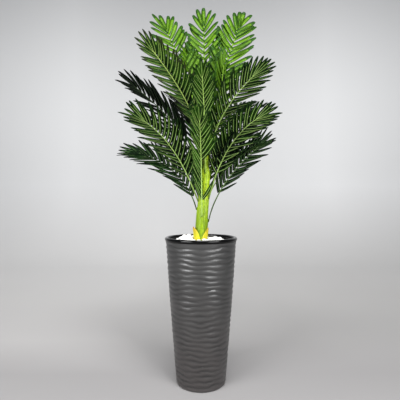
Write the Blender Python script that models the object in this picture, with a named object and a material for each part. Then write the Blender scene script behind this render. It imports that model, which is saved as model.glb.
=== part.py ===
"""Artificial areca palm in a tall tapered planter with a bed of white pebbles.

Metres, +Z up. The origin is the middle of the pot's flat underside, and -Y is the front.
"""
import math
import random
from collections import namedtuple

import bpy
from mathutils import Vector
from mathutils.bvhtree import BVHTree

# Space left between two solids that touch on the real plant
GAP = 0.0003

# Pot: a slightly bowed cone with a rolled lip, its wall pressed into wavy level ripples
POT_HEIGHT = 0.608
POT_FOOT_RADIUS = 0.104
POT_NECK_RADIUS = 0.151
POT_BOW = 0.002
POT_WALL = 0.007
POT_FLOOR = 0.012
FOOT_ROUNDING = 0.008
LIP_RADIUS = 0.154
LIP_THICKNESS = 0.0158
LIP_TURNS = (-70, -35, 0, 35, 70, 110, 145, 180)  # places round the bead
FOOT_TURNS = (0, 30, 60, 90)  # places round the foot's edge
RIPPLES = 27
RIPPLE_DEPTH = 0.002
RIPPLE_SWAY = 0.004
RIPPLE_WAVES = ((2, 0.7, 0.11), (5, 0.3, -0.17))  # waves round the pot, share, drift per row
POT_SIDES = 30

# Filling block and the pebble bed heaped on it
FILLING_TOP = 0.560
BED_EDGE_HEIGHT = 0.578
BED_CROWN_HEIGHT = 0.604
BED_TILT = 0.005
BED_RINGS = 6
BED_ROUGHNESS = 0.003
FOOT_WELL = 0.0065

# Trunk: a leaning column of leaf sheaths that closes to a spear
TRUNK_FOOT_X = -0.005
TRUNK_LEAN = 4.4
TRUNK_SIDES = 20
TRUNK_PROFILE = (  # height above the floor, radius
    (0.5603, 0.0250),
    (0.610, 0.0262),
    (0.680, 0.0248),
    (0.770, 0.0218),
    (0.840, 0.0192),
    (0.880, 0.0170),
    (0.905, 0.0125),
    (0.940, 0.0090),
    (0.966, 0.0015),
)

# Bracts: three pointed husks cupped round the trunk's foot
Bract = namedtuple("Bract", "name azimuth half_angle tip_height flare")
BRACTS = (
    Bract("bract_left", -153, 66, 0.652, 0.012),
    Bract("bract_right", -27, 58, 0.648, 0.006),
    Bract("bract_back", 86, 50, 0.640, 0.007),
)
BRACT_THICKNESS = 0.0018
BRACT_GAP = 0.0006
BRACT_ROWS = 6
BRACT_COLUMNS = 6
BRACT_POINT_ANGLE = 4
BRACT_TAPER = 3.0
BRACT_FLARE_POWER = 2.5

# Fronds: a rib leans further out from root to tip, soonest at its root where its bow is high
Frond = namedtuple(
    "Frond", "name azimuth root lean_root lean_tip bow length stalk roll spread leaf tone")
FRONDS = (
    Frond("frond_front_low", -93, 0.694, 11, 80, -0.95, 0.505, 0.125, -26, 34, 0.122, "dark"),
    Frond("frond_low_right", -32, 0.768, 17.5, 88, -0.80, 0.490, 0.215, -48, 46, 0.114, "dark"),
    Frond("frond_low_left", -150, 0.757, 24, 82, -0.90, 0.497, 0.21, 38, 48, 0.121, "dark"),
    Frond("frond_foot_right", 8, 0.670, 11.5, 49.5, 1.0, 0.496, 0.255, -70, 37, 0.116, "dark"),
    Frond("frond_foot_left", 177, 0.722, 14, 94, 0.02, 0.462, 0.115, -57, 38, 0.116, "dark"),
    Frond("frond_front_mid", -94, 0.878, 6, 80, -0.35, 0.497, 0.405, 3, 32, 0.096, "dark"),
    Frond("frond_up_right", -40, 0.905, 0.2, 66, 0.50, 0.513, 0.25, -35, 46, 0.108, "dark"),
    Frond("frond_up_left", -142, 0.915, 0.3, 50, 1.0, 0.590, 0.30, 20, 50, 0.110, "dark"),
    Frond("frond_mid_left", 188, 0.830, 4.3, 54.8, 0.86, 0.592, 0.30, 34, 31, 0.130, "dark"),
    Frond("frond_top_mid", 97, 0.930, 9, 4, 0.0, 0.725, 0.38, -17, 51, 0.118, "light"),
    Frond("frond_top_left", 151, 0.921, 2.4, 26.4, 1.0, 0.752, 0.315, -49, 51, 0.130, "light"),
    Frond("frond_top_right", 33, 0.917, 0.9, 23, 0.98, 0.758, 0.423, 58, 50, 0.128, "light"),
    Frond("frond_top_inner", 130, 0.890, 8, 13, 0.0, 0.620, 0.36, 0, 50, 0.112, "light"),
    Frond("frond_top_back", 70, 0.890, 16, 34, 0.0, 0.640, 0.30, 10, 50, 0.115, "light"),
    Frond("frond_top_side", -9, 0.868, 8.5, 5, 0.0, 0.560, 0.36, -15, 50, 0.108, "light"),
    Frond("frond_left_rear", 122, 0.872, 12, 52, 0.5, 0.560, 0.25, 10, 48, 0.110, "dark"),
    Frond("frond_rear_upper", 101, 0.906, 14, 50, 0.0, 0.600, 0.26, 0, 50, 0.118, "dark"),
    Frond("frond_mid_right", 19, 0.850, 10, 62, 0.30, 0.480, 0.24, 10, 48, 0.108, "dark"),
    Frond("frond_rear_right", 50, 0.840, 14, 64, 0.0, 0.570, 0.22, 10, 50, 0.125, "dark"),
    Frond("frond_rear_mid", 100, 0.850, 14, 68, 0.0, 0.600, 0.22, 0, 50, 0.125, "dark"),
    Frond("frond_low_rear_right", 38, 0.780, 20, 66, 0.0, 0.460, 0.28, 15, 48, 0.120, "dark"),
    Frond("frond_low_rear", 82, 0.750, 22, 76, 0.0, 0.500, 0.20, 0, 50, 0.125, "dark"),
    Frond("frond_low_rear_left", 125, 0.750, 18, 76, 0.0, 0.480, 0.26, -10, 48, 0.120, "dark"),
    Frond("frond_side_right", 12, 0.790, 26, 76, 0.0, 0.380, 0.20, 5, 48, 0.108, "dark"),
    Frond("frond_side_left", 166, 0.780, 20, 66, 0.0, 0.490, 0.20, 5, 48, 0.108, "dark"),
    Frond("frond_side_upper", -172, 0.888, 7, 34, 0.0, 0.560, 0.28, 5, 46, 0.105, "dark"),
    Frond("frond_fore_right", -18, 0.805, 18, 62, 0.0, 0.400, 0.22, 0, 48, 0.108, "dark"),
    Frond("frond_fore_left", -165, 0.805, 18, 60, 0.0, 0.420, 0.22, 0, 48, 0.108, "dark"),
)
RIB_STEPS = 48

# Rib and stalk sections, as width and thickness
STALK_FOOT = (0.0100, 0.0060)
STALK_END = (0.0050, 0.0042)
RIB_END = (0.0028, 0.0022)
STALK_SECTIONS = 3

# Leaflets: blades in pairs along the rib that close up towards its end, with one more on its tip
LEAFLET_PAIRS = 11
LEAFLET_BASE_SHARE = 0.72
LEAFLET_TIP_SHARE = 0.70
LEAFLET_LONGEST_AT = 0.35
LEAFLET_WIDTH = 0.019
LEAFLET_FOOT = 0.0075
LEAFLET_THICKNESS = 0.0015
LEAFLET_WIDEST_AT = 0.42
FAN_REACH = 0.036
FAN_START = 0.010
LEAFLET_FOLD = (20, 8)
LEAFLET_DROOP = 0.06
LEAFLET_SWEEP = 0.14
END_LEAFLET = 0.086
END_LEAFLET_WIDTH = 0.0127
TOUCH_MARGIN = 0.0012
CUT_BACK = (1.0, 0.8, 0.6)

# Angles above which an edge stays sharp
TURNED_EDGE = 50
HUSK_EDGE = 40
HEAP_EDGE = 30

SEED = 11

# Finishes: base colour, roughness
FINISHES = {
    "planter_charcoal": ((0.075, 0.071, 0.068), 0.35),
    "filler_grey": ((0.25, 0.24, 0.22), 0.95),
    "pebble_white": ((0.85, 0.84, 0.80), 0.55),
    "sheath_green": ((0.36, 0.55, 0.06), 0.45),
    "husk_yellow": ((0.85, 0.62, 0.03), 0.45),
    "leaf_dark": ((0.025, 0.085, 0.012), 0.40),
    "leaf_light": ((0.16, 0.40, 0.03), 0.40),
}


def mix(start, end, share):
    """The value that lies this share of the way from start to end."""
    return start + (end - start) * share


def clear_scene():
    for item in list(bpy.data.objects):
        bpy.data.objects.remove(item)


def finish(name):
    """The plain material of this name, made once."""
    if name in bpy.data.materials:
        return bpy.data.materials[name]
    colour, roughness = FINISHES[name]
    made = bpy.data.materials.new(name)
    made.use_nodes = True
    shader = made.node_tree.nodes["Principled BSDF"]
    shader.inputs["Base Color"].default_value = (*colour, 1.0)
    shader.inputs["Roughness"].default_value = roughness
    shader.inputs["Metallic"].default_value = 0.0
    return made


def add_solid(name, shape, finish_name, smooth_angle=None):
    """Make the named object from its points and faces."""
    mesh = bpy.data.meshes.new(name)
    mesh.from_pydata(shape.points, [], shape.faces)
    mesh.materials.append(finish(finish_name))
    if smooth_angle:
        mesh.shade_smooth()
        mesh.set_sharp_from_angle(angle=math.radians(smooth_angle))
    solid = bpy.data.objects.new(name, mesh)
    bpy.context.collection.objects.link(solid)
    return solid


class Shape:
    """Points and faces of one closed body, with its faces pointing out."""

    def __init__(self):
        self.points = []
        self.faces = []

    def add_ring(self, ring):
        first = len(self.points)
        self.points.extend(ring)
        return list(range(first, len(self.points)))

    def wall(self, lower, upper, left_open=()):
        """Join two rings that both run anticlockwise about the way from lower to upper."""
        count = len(lower)
        for i in range(count):
            j = (i + 1) % count
            if i not in left_open:
                self.faces.append((lower[i], lower[j], upper[j], upper[i]))

    def close(self, ring, tip):
        """Draw a ring to a point."""
        apex = self.add_ring([tip])[0]
        for i in range(len(ring)):
            self.faces.append((ring[i], ring[(i + 1) % len(ring)], apex))


def stacked(rings, endless=False):
    """A body of stacked rings: its ends are capped, or its last ring meets its first."""
    shape = Shape()
    rows = [shape.add_ring(ring) for ring in rings]
    for lower, upper in zip(rows, rows[1:]):
        shape.wall(lower, upper)
    if endless:
        shape.wall(rows[-1], rows[0])
    else:
        shape.faces.append(tuple(reversed(rows[0])))
        shape.faces.append(tuple(rows[-1]))
    return shape


def level_ring(radius, height, sides, centre_x=0.0):
    return [
        Vector((centre_x + radius * math.cos(turn), radius * math.sin(turn), height))
        for turn in (math.tau * i / sides for i in range(sides))
    ]


# Pot, filling and pebbles

def pot_radius(height):
    """Outside of the pot's wall, before its ripples."""
    share = height / POT_HEIGHT
    return mix(POT_FOOT_RADIUS, POT_NECK_RADIUS, share) + POT_BOW * math.sin(math.pi * share)


def cavity_radius(height):
    """Inside of the pot's wall: a plain cone between the floor and the lip."""
    neck = POT_HEIGHT - LIP_THICKNESS
    share = (height - POT_FLOOR) / (neck - POT_FLOOR)
    foot_radius = pot_radius(POT_FLOOR) - POT_WALL
    return mix(foot_radius, pot_radius(neck) - POT_WALL, share)


def ripple_ring(row, rows):
    """One crest or groove line: it sways up and down round the pot, and less at the ends."""
    foot = FOOT_ROUNDING + RIPPLE_SWAY
    neck = POT_HEIGHT - LIP_THICKNESS - RIPPLE_SWAY / 2
    base = mix(foot, neck, row / rows)
    calm = math.sqrt(max(0.0, math.sin(math.pi * row / rows)))
    sunk = RIPPLE_DEPTH if row % 2 else 0.0
    ring = []
    for i in range(POT_SIDES):
        turn = math.tau * i / POT_SIDES
        sway = sum(
            share * math.sin(waves * turn + drift * row) for waves, share, drift in RIPPLE_WAVES
        )
        height = base + RIPPLE_SWAY * calm * sway
        radius = pot_radius(height) - sunk
        ring.append(Vector((radius * math.cos(turn), radius * math.sin(turn), height)))
    return ring


def build_pot():
    rings = []
    for turn in FOOT_TURNS:
        radius = POT_FOOT_RADIUS - FOOT_ROUNDING * (1 - math.sin(math.radians(turn)))
        height = FOOT_ROUNDING * (1 - math.cos(math.radians(turn)))
        rings.append(level_ring(radius, height, POT_SIDES))
    rows = 2 * RIPPLES
    rings += [ripple_ring(row, rows) for row in range(rows + 1)]
    bead = LIP_THICKNESS / 2
    for turn in LIP_TURNS:
        radius = LIP_RADIUS - bead + bead * math.cos(math.radians(turn))
        height = POT_HEIGHT - bead + bead * math.sin(math.radians(turn))
        rings.append(level_ring(radius, height, POT_SIDES))
    neck = POT_HEIGHT - LIP_THICKNESS
    rings.append(level_ring(cavity_radius(neck), neck, POT_SIDES))
    rings.append(level_ring(cavity_radius(POT_FLOOR), POT_FLOOR, POT_SIDES))
    add_solid("pot", stacked(rings), "planter_charcoal", TURNED_EDGE)


def build_filling():
    rings = [
        level_ring(cavity_radius(height) - GAP, height, POT_SIDES)
        for height in (POT_FLOOR + GAP, FILLING_TOP)
    ]
    add_solid("filling", stacked(rings), "filler_grey")


def build_pebble_bed():
    """A low uneven heap, higher on its left, from the wall to a well round the trunk's foot."""
    rng = random.Random(SEED)
    floor = FILLING_TOP + GAP
    wall_low = level_ring(cavity_radius(floor) - GAP, floor, POT_SIDES)
    rings = [wall_low]
    for k in range(BED_RINGS + 1):
        share = k / BED_RINGS
        height = mix(BED_EDGE_HEIGHT, BED_CROWN_HEIGHT, math.sin(math.pi / 2 * share))
        well = trunk_radius(height) + FOOT_WELL
        radius = mix(cavity_radius(height) - GAP, well, share)
        ring = level_ring(radius, height, POT_SIDES, trunk_axis(height).x * share)
        if 0 < k < BED_RINGS:
            for point in ring:
                point.z += rng.uniform(-BED_ROUGHNESS, BED_ROUGHNESS)
                point.z -= BED_TILT * math.sin(math.pi * share) * point.x / POT_NECK_RADIUS
        rings.append(ring)
    well = trunk_radius(floor) + FOOT_WELL
    rings.append(level_ring(well, floor, POT_SIDES, trunk_axis(floor).x))
    add_solid("pebble_bed", stacked(rings, endless=True), "pebble_white", HEAP_EDGE)


# Trunk and bracts

def trunk_axis(height):
    rise = height - FILLING_TOP
    return Vector((TRUNK_FOOT_X + rise * math.tan(math.radians(TRUNK_LEAN)), 0.0, height))


def trunk_radius(height):
    for (low, low_radius), (high, high_radius) in zip(TRUNK_PROFILE, TRUNK_PROFILE[1:]):
        if height <= high:
            return mix(low_radius, high_radius, max(0.0, (height - low) / (high - low)))
    return TRUNK_PROFILE[-1][1]


def build_trunk():
    rings = [
        level_ring(radius, height, TRUNK_SIDES, trunk_axis(height).x)
        for height, radius in TRUNK_PROFILE
    ]
    shape = stacked(rings)
    add_solid("trunk", shape, "sheath_green", TURNED_EDGE)
    return shape


def build_bract(bract):
    """A husk that hugs the trunk at its foot, narrows to a point and flares away at its tip."""
    rings = []
    for row in range(BRACT_ROWS + 1):
        share = row / BRACT_ROWS
        height = mix(FILLING_TOP + GAP, bract.tip_height, share)
        half = math.radians(mix(bract.half_angle, BRACT_POINT_ANGLE, share ** BRACT_TAPER))
        inner = trunk_radius(height) + BRACT_GAP + bract.flare * share ** BRACT_FLARE_POWER
        axis = trunk_axis(height)
        arc = [
            math.radians(bract.azimuth) + mix(-half, half, column / BRACT_COLUMNS)
            for column in range(BRACT_COLUMNS + 1)
        ]
        outside = [(turn, inner + BRACT_THICKNESS) for turn in arc]
        inside = [(turn, inner) for turn in reversed(arc)]
        rings.append([
            axis + Vector((radius * math.cos(turn), radius * math.sin(turn), 0.0))
            for turn, radius in outside + inside
        ])
    shape = stacked(rings)
    add_solid(bract.name, shape, "husk_yellow", HUSK_EDGE)
    return shape


# Fronds

def rib_lean(frond, share):
    """Lean from the vertical at this share of a frond's length."""
    bent = share + frond.bow * share * (1 - share)
    return math.radians(mix(frond.lean_root, frond.lean_tip, bent))


def rib_ahead(frond, share):
    """The way the rib runs at this share of its length."""
    azimuth = math.radians(frond.azimuth)
    lean = rib_lean(frond, share)
    reach = math.sin(lean)
    return Vector((reach * math.cos(azimuth), reach * math.sin(azimuth), math.cos(lean)))


def rib_places(frond):
    """Points at even steps along a rib, from its foot beside the trunk to its tip."""
    azimuth = math.radians(frond.azimuth)
    outward = Vector((math.cos(azimuth), math.sin(azimuth), 0.0))
    clear = GAP + STALK_FOOT[1] / 2 * math.cos(rib_lean(frond, 0.0))
    places = [trunk_axis(frond.root) + outward * (trunk_radius(frond.root) + clear)]
    for step in range(RIB_STEPS):
        ahead = rib_ahead(frond, (step + 0.5) / RIB_STEPS)
        places.append(places[-1] + ahead * (frond.length / RIB_STEPS))
    return places


def rib_frame(frond, along):
    """Place, forward, side and upper directions at this distance along the rib."""
    share = along / frond.length
    step = min(int(share * RIB_STEPS), RIB_STEPS - 1)
    places = RIB_PLACES[frond.name]
    place = places[step].lerp(places[step + 1], share * RIB_STEPS - step)
    forward = rib_ahead(frond, share)
    azimuth = math.radians(frond.azimuth)
    level_side = Vector((-math.sin(azimuth), math.cos(azimuth), 0.0))
    roll = math.radians(frond.roll) * min(1.0, share / frond.stalk)
    side = level_side * math.cos(roll) + forward.cross(level_side) * math.sin(roll)
    upper = forward.cross(side)
    return place, forward, side, upper


def section(frond, along, size):
    """The four corners of the rib at one place, anticlockwise about its forward direction."""
    place, _, side, upper = rib_frame(frond, along)
    half_side = side * size[0] / 2
    half_upper = upper * size[1] / 2
    return [
        place + half_side + half_upper,
        place - half_side + half_upper,
        place - half_side - half_upper,
        place + half_side - half_upper,
    ]


def size_between(start, end, share):
    return mix(start[0], end[0], share), mix(start[1], end[1], share)


def rib_plan(frond):
    """Distances and sizes of the rib's sections, and which stretches carry a pair of leaflets."""
    stalk = frond.stalk * frond.length
    rib_length = frond.length - END_LEAFLET
    plan = []
    for k in range(STALK_SECTIONS):
        share = k / STALK_SECTIONS
        plan.append((stalk * share, size_between(STALK_FOOT, STALK_END, share), None))
    pitch = (rib_length - stalk) / LEAFLET_PAIRS
    for pair in range(LEAFLET_PAIRS):
        share = pair / (LEAFLET_PAIRS - 1)
        size = size_between(STALK_END, RIB_END, share)
        middle = stalk + pitch * (pair + 0.5)
        plan.append((middle - LEAFLET_FOOT / 2, size, share))
        plan.append((middle + LEAFLET_FOOT / 2, size, None))
    plan.append((rib_length, RIB_END, None))
    return plan, pitch


def leaflet_angle(frond, along):
    """Angle from the rib: steady along the blade, closing up over the last stretch."""
    left = frond.length - END_LEAFLET - along + FAN_START
    return math.radians(frond.spread) * (1 - math.exp(-left / FAN_REACH))


def leaflet_length(frond, share):
    """Length of a leaflet at this share of the blade."""
    if share < LEAFLET_LONGEST_AT:
        return frond.leaf * mix(LEAFLET_BASE_SHARE, 1.0, share / LEAFLET_LONGEST_AT)
    rest = (share - LEAFLET_LONGEST_AT) / (1 - LEAFLET_LONGEST_AT)
    return frond.leaf * mix(1.0, LEAFLET_TIP_SHARE, rest)


def leaflet_outline(foot, frond, along_rib, share, pitch, side_sign, cut, margin=0.0):
    """Widest ring and tip of a leaflet that grows from four corners of the rib."""
    _, forward, side, upper = rib_frame(frond, along_rib)
    angle = leaflet_angle(frond, along_rib)
    fold = math.radians(mix(*LEAFLET_FOLD, share))
    outward = side * side_sign * math.cos(fold) + upper * math.sin(fold)
    top = upper * math.cos(fold) - side * side_sign * math.sin(fold)
    along = forward * math.cos(angle) + outward * math.sin(angle)
    across = forward * math.sin(angle) - outward * math.cos(angle)
    length = leaflet_length(frond, share) * cut
    width = min(LEAFLET_WIDTH, pitch * math.sin(angle))
    start = sum(foot, Vector()) / 4
    widest = start + along * length * LEAFLET_WIDEST_AT
    half_width = across * (width / 2 + margin)
    half_top = top * (LEAFLET_THICKNESS / 2 + margin)
    ring = []
    for corner in foot:
        ahead = 1 if (corner - start).dot(forward) > 0 else -1
        above = 1 if (corner - start).dot(upper) > 0 else -1
        ring.append(widest + half_width * ahead + half_top * above)
    curl = forward * LEAFLET_SWEEP - top * LEAFLET_DROOP
    tip = start + along * (length + margin) + curl * length
    return ring, tip


def leaflet_trial(foot, ring, tip):
    """The leaflet as loose triangles, to try it against its neighbours."""
    shape = Shape()
    base = shape.add_ring(foot)
    middle = shape.add_ring(ring)
    shape.wall(base, middle)
    shape.close(middle, tip)
    return BVHTree.FromPolygons(shape.points, shape.faces)


def rib_shape(frond):
    """A bare rib, closed all round."""
    plan, _ = rib_plan(frond)
    return stacked([section(frond, along, size) for along, size, _ in plan])


def frond_shape(frond, neighbours):
    """Rib and leaflets in one body; a leaflet that would touch a neighbour is cut back or left off."""
    plan, pitch = rib_plan(frond)
    shape = Shape()
    rows = [shape.add_ring(section(frond, along, size)) for along, size, _ in plan]
    shape.faces.append(tuple(reversed(rows[0])))
    for k in range(len(plan) - 1):
        along, _, share = plan[k]
        lower, upper = rows[k], rows[k + 1]
        left_open = []
        if share is not None:
            middle = along + LEAFLET_FOOT / 2
            for side_sign, face in ((-1, 1), (1, 3)):
                nxt = (face + 1) % 4
                base = [lower[face], lower[nxt], upper[nxt], upper[face]]
                foot = [shape.points[i] for i in base]
                for cut in CUT_BACK:
                    leaflet = (foot, frond, middle, share, pitch, side_sign, cut)
                    trial = leaflet_outline(*leaflet, TOUCH_MARGIN)
                    if leaflet_trial(foot, *trial).overlap(neighbours):
                        continue
                    ring, tip = leaflet_outline(*leaflet)
                    widest = shape.add_ring(ring)
                    shape.wall(base, widest)
                    shape.close(widest, tip)
                    left_open.append(face)
                    break
        shape.wall(lower, upper, left_open)
    add_end_leaflet(shape, frond, rows[-1])
    return shape


def add_end_leaflet(shape, frond, base):
    """The single leaflet on the rib's tip."""
    place, forward, side, upper = rib_frame(frond, frond.length - END_LEAFLET)
    widest = place + forward * END_LEAFLET * LEAFLET_WIDEST_AT
    half_side = side * END_LEAFLET_WIDTH / 2
    half_upper = upper * LEAFLET_THICKNESS / 2
    ring = shape.add_ring([
        widest + half_side + half_upper,
        widest - half_side + half_upper,
        widest - half_side - half_upper,
        widest + half_side - half_upper,
    ])
    shape.wall(base, ring)
    shape.close(ring, place + forward * END_LEAFLET)


def joined_tree(shapes):
    """One search tree over several shapes."""
    points = []
    faces = []
    for shape in shapes:
        first = len(points)
        points.extend(shape.points)
        faces.extend(tuple(first + i for i in face) for face in shape.faces)
    return BVHTree.FromPolygons(points, faces)


def build_fronds(limbs):
    ribs = {frond.name: rib_shape(frond) for frond in FRONDS}
    done = []
    for frond in FRONDS:
        other_ribs = [rib for name, rib in ribs.items() if name != frond.name]
        shape = frond_shape(frond, joined_tree(limbs + other_ribs + done))
        add_solid(frond.name, shape, "leaf_" + frond.tone)
        done.append(shape)


RIB_PLACES = {frond.name: rib_places(frond) for frond in FRONDS}


def build():
    clear_scene()
    build_pot()
    build_filling()
    build_pebble_bed()
    limbs = [build_trunk()]
    limbs += [build_bract(bract) for bract in BRACTS]
    build_fronds(limbs)


build()
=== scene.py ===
import math
import random
from collections import namedtuple

import bmesh
import bpy
from mathutils import Matrix, Vector


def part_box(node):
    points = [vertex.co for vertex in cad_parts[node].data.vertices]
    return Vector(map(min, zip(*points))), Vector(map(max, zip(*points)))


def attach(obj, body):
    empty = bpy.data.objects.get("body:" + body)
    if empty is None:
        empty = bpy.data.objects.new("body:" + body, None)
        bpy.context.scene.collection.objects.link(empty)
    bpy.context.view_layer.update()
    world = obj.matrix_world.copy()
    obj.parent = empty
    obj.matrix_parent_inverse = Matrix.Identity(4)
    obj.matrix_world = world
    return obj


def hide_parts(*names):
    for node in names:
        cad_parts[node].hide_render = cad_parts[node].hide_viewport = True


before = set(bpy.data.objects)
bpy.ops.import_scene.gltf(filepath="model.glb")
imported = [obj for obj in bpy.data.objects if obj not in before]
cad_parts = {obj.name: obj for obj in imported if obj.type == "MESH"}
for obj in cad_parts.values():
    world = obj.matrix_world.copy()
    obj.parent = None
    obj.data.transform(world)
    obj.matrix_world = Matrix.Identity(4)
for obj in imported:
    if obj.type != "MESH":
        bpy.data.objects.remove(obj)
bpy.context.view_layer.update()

# Sizes read from the frame
POT_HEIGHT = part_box("pot")[1].z
LIP_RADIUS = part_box("pot")[1].x
FILLING_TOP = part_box("filling")[1].z
BED_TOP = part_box("pebble_bed")[1].z
TRUNK_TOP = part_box("trunk")[1].z

# Planter: a slightly bowed cone, with wavy level ripples below a rolled lip
FOOT_RADIUS = 0.104
NECK_RADIUS = 0.151
WALL_BOW = 0.002
WALL_THICKNESS = 0.007
FLOOR_THICKNESS = 0.012
LIP_THICKNESS = 0.0158
FOOT_ROUNDING = 0.008
RIPPLE_PITCH = 0.0205
RIPPLE_DEPTH = 0.0042
RIPPLE_CALM = 0.008
RIPPLE_SHARPNESS = 1.3
RIPPLE_UNEVENNESS = 0.15
RIPPLE_SWAY = (  # rise, waves round the wall, climb, start
    (0.0036, 3, 21, 1.0),
    (0.0024, 7, -47, 0.0),
    (0.0014, 12, 90, 2.0),
)
LIP_SKIRT = 0.006
WALL_SIDES = 144
WALL_ROWS = 260

# Pebbles: a heap that is lower at the wall, with a pile on each side
BED_EDGE_HEIGHT = 0.574
BED_CROWN_HEIGHT = 0.604
PILES = ((-0.068, 0.035, 0.036, 0.020), (0.075, 0.025, 0.028, 0.009))  # x, y, spread, height
PEBBLE_COUNT = 230
PEBBLE_RADIUS = (0.0085, 0.0135)
PEBBLE_LENGTH = (0.90, 1.15)
PEBBLE_BREADTH = (0.75, 1.00)
PEBBLE_FLATNESS = (0.55, 0.75)
PEBBLE_TILT = 0.35
PEBBLE_SINK = 0.75
PEBBLE_SETTLE = (-0.002, 0.003)
PEBBLE_LUMPS = ((0.05, 3.1), (0.05, 2.7), (0.04, 4.3))  # height and waves along x, y and z
PEBBLE_CEILING = 0.012
GRIT_GAP = 0.0003
GRIT_DEPTH = 0.012
GRIT_RINGS = 5
GRIT_BELOW = 0.011
GRIT_ROUGHNESS = 0.001
TRUNK_CLEARANCE = 0.006

# Trunk: a leaning column of leaf sheaths that closes to a spear
TRUNK_FOOT_X = -0.005
TRUNK_LEAN = 4.4
TRUNK_SIDES = 72
TRUNK_ROWS = 150
TRUNK_PROFILE = (  # height above the floor, radius
    (0.5603, 0.0250),
    (0.610, 0.0262),
    (0.680, 0.0248),
    (0.770, 0.0218),
    (0.840, 0.0192),
    (0.880, 0.0170),
    (0.905, 0.0125),
    (0.940, 0.0090),
    (0.966, 0.0015),
)
SEAMS = ((-134, 0.0), (-37, 0.35), (60, -0.3), (150, 0.2))  # azimuth at the foot, turns per metre
SEAM_DEPTH = 0.0016
SEAM_HALF_WIDTH = 0.075
SHEATH_STEP = 0.0012
SHEATH_SLOPE = 0.5
SHEATH_FLUTES = 0.0004

# Leaf boots: the stalks' bases, which reach down the trunk from each frond's root
BOOT_DROP = 0.115
BOOT_RISE = 0.012
BOOT_CLEARANCE = 0.003
BOOT_HALF_ANGLE = 70
BOOT_SUNK = 0.0012
BOOT_SWELL = 0.0011
BOOT_LEAST_RADIUS = 0.008

# Bracts: three pointed husks cupped round the trunk's foot
Bract = namedtuple("Bract", "name azimuth half_angle tip_height flare")
BRACTS = (
    Bract("bract_left", -153, 66, 0.652, 0.012),
    Bract("bract_right", -27, 58, 0.648, 0.006),
    Bract("bract_back", 86, 50, 0.640, 0.007),
)
BRACT_THICKNESS = 0.0018
BRACT_TAPER = 3.0
BRACT_FLARE_POWER = 2.5
BRACT_TIP_ANGLE = 3
BRACT_INSET = 0.001
BRACT_CLEARANCE = 0.0017
BRACT_CUP = 0.0012
BRACT_CREASES = 0.0005

# Fronds: a rib leans further out from root to tip, soonest at its root where its bow is high
Frond = namedtuple(
    "Frond", "name azimuth root lean_root lean_tip bow length stalk roll spread leaf tone")
FRONDS = (
    Frond("frond_front_low", -93, 0.694, 11, 80, -0.95, 0.505, 0.125, -26, 34, 0.122, "fresh"),
    Frond("frond_low_right", -32, 0.768, 17.5, 88, -0.80, 0.490, 0.215, -48, 46, 0.114, "green"),
    Frond("frond_low_left", -150, 0.757, 24, 82, -0.90, 0.497, 0.21, 38, 48, 0.121, "green"),
    Frond("frond_foot_right", 8, 0.670, 11.5, 49.5, 1.0, 0.496, 0.255, -70, 37, 0.116, "deep"),
    Frond("frond_foot_left", 177, 0.722, 14, 94, 0.02, 0.462, 0.115, -57, 38, 0.116, "deep"),
    Frond("frond_front_mid", -94, 0.878, 6, 80, -0.35, 0.497, 0.405, 3, 32, 0.096, "fresh"),
    Frond("frond_up_right", -40, 0.905, 0.2, 66, 0.50, 0.513, 0.25, -35, 46, 0.108, "green"),
    Frond("frond_up_left", -142, 0.915, 0.3, 50, 1.0, 0.590, 0.30, 20, 50, 0.110, "olive"),
    Frond("frond_mid_left", 188, 0.830, 4.3, 54.8, 0.86, 0.592, 0.30, 34, 31, 0.130, "black"),
    Frond("frond_top_mid", 97, 0.930, 9, 4, 0.0, 0.725, 0.38, -17, 51, 0.118, "bright"),
    Frond("frond_top_left", 151, 0.921, 2.4, 26.4, 1.0, 0.752, 0.315, -49, 51, 0.130, "bright"),
    Frond("frond_top_right", 33, 0.917, 0.9, 23, 0.98, 0.758, 0.423, 58, 50, 0.128, "dense"),
    Frond("frond_top_inner", 130, 0.890, 8, 13, 0.0, 0.620, 0.36, 0, 50, 0.112, "bright"),
    Frond("frond_top_back", 70, 0.890, 16, 34, 0.0, 0.640, 0.30, 10, 50, 0.115, "bright"),
    Frond("frond_top_side", -9, 0.868, 8.5, 5, 0.0, 0.560, 0.36, -15, 50, 0.108, "bright"),
    Frond("frond_left_rear", 122, 0.872, 12, 52, 0.5, 0.560, 0.25, 10, 48, 0.110, "deep"),
    Frond("frond_rear_upper", 101, 0.906, 14, 50, 0.0, 0.600, 0.26, 0, 50, 0.118, "green"),
    Frond("frond_mid_right", 19, 0.850, 10, 62, 0.30, 0.480, 0.24, 10, 48, 0.108, "deep"),
    Frond("frond_rear_right", 50, 0.840, 14, 64, 0.0, 0.570, 0.22, 10, 50, 0.125, "green"),
    Frond("frond_rear_mid", 100, 0.850, 14, 68, 0.0, 0.600, 0.22, 0, 50, 0.125, "green"),
    Frond("frond_low_rear_right", 38, 0.780, 20, 66, 0.0, 0.460, 0.28, 15, 48, 0.120, "deep"),
    Frond("frond_low_rear", 82, 0.750, 22, 76, 0.0, 0.500, 0.20, 0, 50, 0.125, "green"),
    Frond("frond_low_rear_left", 125, 0.750, 18, 76, 0.0, 0.480, 0.26, -10, 48, 0.120, "deep"),
    Frond("frond_side_right", 12, 0.790, 26, 76, 0.0, 0.380, 0.20, 5, 48, 0.108, "green"),
    Frond("frond_side_left", 166, 0.780, 20, 66, 0.0, 0.490, 0.20, 5, 48, 0.108, "deep"),
    Frond("frond_side_upper", -172, 0.888, 7, 34, 0.0, 0.560, 0.28, 5, 46, 0.105, "deep"),
    Frond("frond_fore_right", -18, 0.805, 18, 62, 0.0, 0.400, 0.22, 0, 48, 0.108, "deep"),
    Frond("frond_fore_left", -165, 0.805, 18, 60, 0.0, 0.420, 0.22, 0, 48, 0.108, "deep"),
)
RIB_STEPS = 48
ROOT_GAP = 0.0003

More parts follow.
